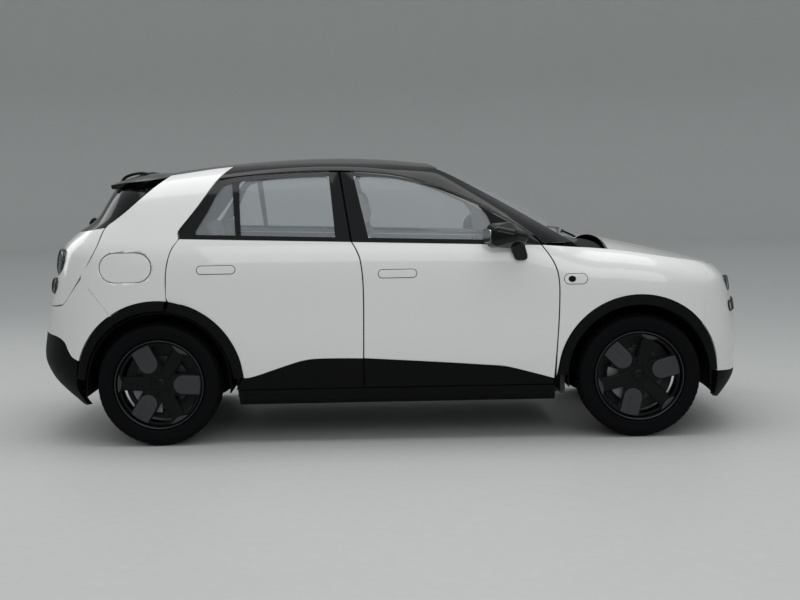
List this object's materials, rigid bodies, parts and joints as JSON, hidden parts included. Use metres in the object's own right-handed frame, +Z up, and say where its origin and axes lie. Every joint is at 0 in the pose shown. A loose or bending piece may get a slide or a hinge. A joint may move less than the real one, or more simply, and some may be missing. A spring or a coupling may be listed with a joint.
{
  "type": "electric hatchback",
  "caption": "Five-door battery-electric hatchback with opening doors, bonnet, tailgate and charge flap, steered front wheels and four turning wheels.",
  "frame": {"origin": "on the ground under the middle of the car's length and width", "axes": "+X forward, +Y to the car's left, +Z up"},
  "size_m": [4.0018, 2.0354, 1.5561],
  "materials": {
    "white_paint": "gloss",
    "black_paint": "gloss",
    "cladding": "matte",
    "steel": "satin",
    "cast": "satin",
    "aluminium": "satin",
    "glass": "gloss",
    "lamp": "gloss",
    "red_lamp": "gloss",
    "seat_fabric": "matte",
    "trim_plastic": "matte",
    "dark_plastic": "matte",
    "wheel_black": "satin",
    "tyre": "matte"
  },
  "bodies": {
    "body": {"floor_pan": "steel", "firewall": "steel", "battery_pack": "aluminium", "drive_motor": "aluminium", "front_subframe": "steel", "rear_axle": "steel", "sills": "cladding", "fixed_flares": "cladding", "arch_liners": "cladding", "roof_rails": "black_paint", "centre_pillars": "steel", "roof_panel": "black_paint", "quarter_panels": "white_paint", "front_wings": "white_paint", "front_bumper": "white_paint", "front_grille": "cladding", "rear_bumper": "white_paint", "rear_lower_bumper": "cladding", "head_lamps": "lamp", "windscreen": "glass", "cowl_panel": "cladding", "hinges": "steel", "front_trunk": "cladding", "dashboard": "trim_plastic", "front_seats": "seat_fabric", "rear_bench": "seat_fabric"},
    "door_front_left": {"door_front_left": "white_paint", "trim_front_left": "cladding", "glass_front_left": "glass", "mirror_left": "black_paint"},
    "wheel_front_left": {"wheel_front_left": "wheel_black", "tyre_front_left": "tyre"},
    "door_front_right": {"door_front_right": "white_paint", "trim_front_right": "cladding", "glass_front_right": "glass", "mirror_right": "black_paint"},
    "wheel_front_right": {"wheel_front_right": "wheel_black", "tyre_front_right": "tyre"},
    "door_rear_left": {"door_rear_left": "white_paint", "trim_rear_left": "cladding", "glass_rear_left": "glass"},
    "wheel_rear_left": {"wheel_rear_left": "wheel_black", "tyre_rear_left": "tyre"},
    "door_rear_right": {"door_rear_right": "white_paint", "trim_rear_right": "cladding", "glass_rear_right": "glass"},
    "wheel_rear_right": {"wheel_rear_right": "wheel_black", "tyre_rear_right": "tyre"},
    "bonnet": {"bonnet": "white_paint"},
    "tailgate": {"tailgate": "white_paint", "tailgate_frame": "black_paint", "rear_window": "glass", "rear_spoiler": "black_paint", "tail_lamps": "red_lamp"},
    "charge_flap": {"charge_flap": "white_paint"},
    "steering_wheel": {"steering_wheel": "dark_plastic"},
    "knuckle_left": {"knuckle_left": "cast"},
    "knuckle_right": {"knuckle_right": "cast"}
  },
  "joints": [
    {"name": "door_front_left", "type": "hinge", "parent": "body", "child": "door_front_left", "pos_m": [0.88, 0.876, 0.66], "axis": [0, 0, -1], "range_deg": [0, 68]},
    {"name": "door_rear_left", "type": "hinge", "parent": "body", "child": "door_rear_left", "pos_m": [-0.184, 0.876, 0.66], "axis": [0, 0, -1], "range_deg": [0, 72]},
    {"name": "door_front_right", "type": "hinge", "parent": "body", "child": "door_front_right", "pos_m": [0.88, -0.876, 0.66], "axis": [0, 0, 1], "range_deg": [0, 68]},
    {"name": "door_rear_right", "type": "hinge", "parent": "body", "child": "door_rear_right", "pos_m": [-0.184, -0.876, 0.66], "axis": [0, 0, 1], "range_deg": [0, 72]},
    {"name": "bonnet", "type": "hinge", "parent": "body", "child": "bonnet", "pos_m": [1.1888, 0, 1.016], "axis": [0, -1, 0], "range_deg": [0, 50]},
    {"name": "tailgate", "type": "hinge", "parent": "body", "child": "tailgate", "pos_m": [-1.206, 0, 1.483], "axis": [0, 1, 0], "range_deg": [0, 75]},
    {"name": "charge_flap", "type": "hinge", "parent": "body", "child": "charge_flap", "pos_m": [-1.279, -0.8769, 0.976], "axis": [0, 0.0923, 0.9957], "range_deg": [0, 95]},
    {"name": "steering_wheel", "type": "hinge", "parent": "body", "child": "steering_wheel", "pos_m": [0.47, 0.36, 0.9], "axis": [-0.8829, 0, 0.4695], "range_deg": [-350, 350]},
    {"name": "steer_left", "type": "hinge", "parent": "body", "child": "knuckle_left", "pos_m": [1.3515, 0.695, 0.336], "axis": [0, 0, 1], "range_deg": [-35, 35]},
    {"name": "spin_front_left", "type": "hinge", "parent": "knuckle_left", "child": "wheel_front_left", "pos_m": [1.3515, 0.765, 0.336], "axis": [0, 1, 0], "continuous": true},
    {"name": "spin_rear_left", "type": "hinge", "parent": "body", "child": "wheel_rear_left", "pos_m": [-1.2635, 0.765, 0.336], "axis": [0, 1, 0], "continuous": true},
    {"name": "steer_right", "type": "hinge", "parent": "body", "child": "knuckle_right", "pos_m": [1.3515, -0.695, 0.336], "axis": [0, 0, 1], "range_deg": [-35, 35]},
    {"name": "spin_front_right", "type": "hinge", "parent": "knuckle_right", "child": "wheel_front_right", "pos_m": [1.3515, -0.765, 0.336], "axis": [0, 1, 0], "continuous": true},
    {"name": "spin_rear_right", "type": "hinge", "parent": "body", "child": "wheel_rear_right", "pos_m": [-1.2635, -0.765, 0.336], "axis": [0, 1, 0], "continuous": true}
  ],
  "couplings": [
    {"joint": "steer_left", "follows": "steering_wheel", "ratio": 0.1},
    {"joint": "steer_right", "follows": "steering_wheel", "ratio": 0.1}
  ]
}
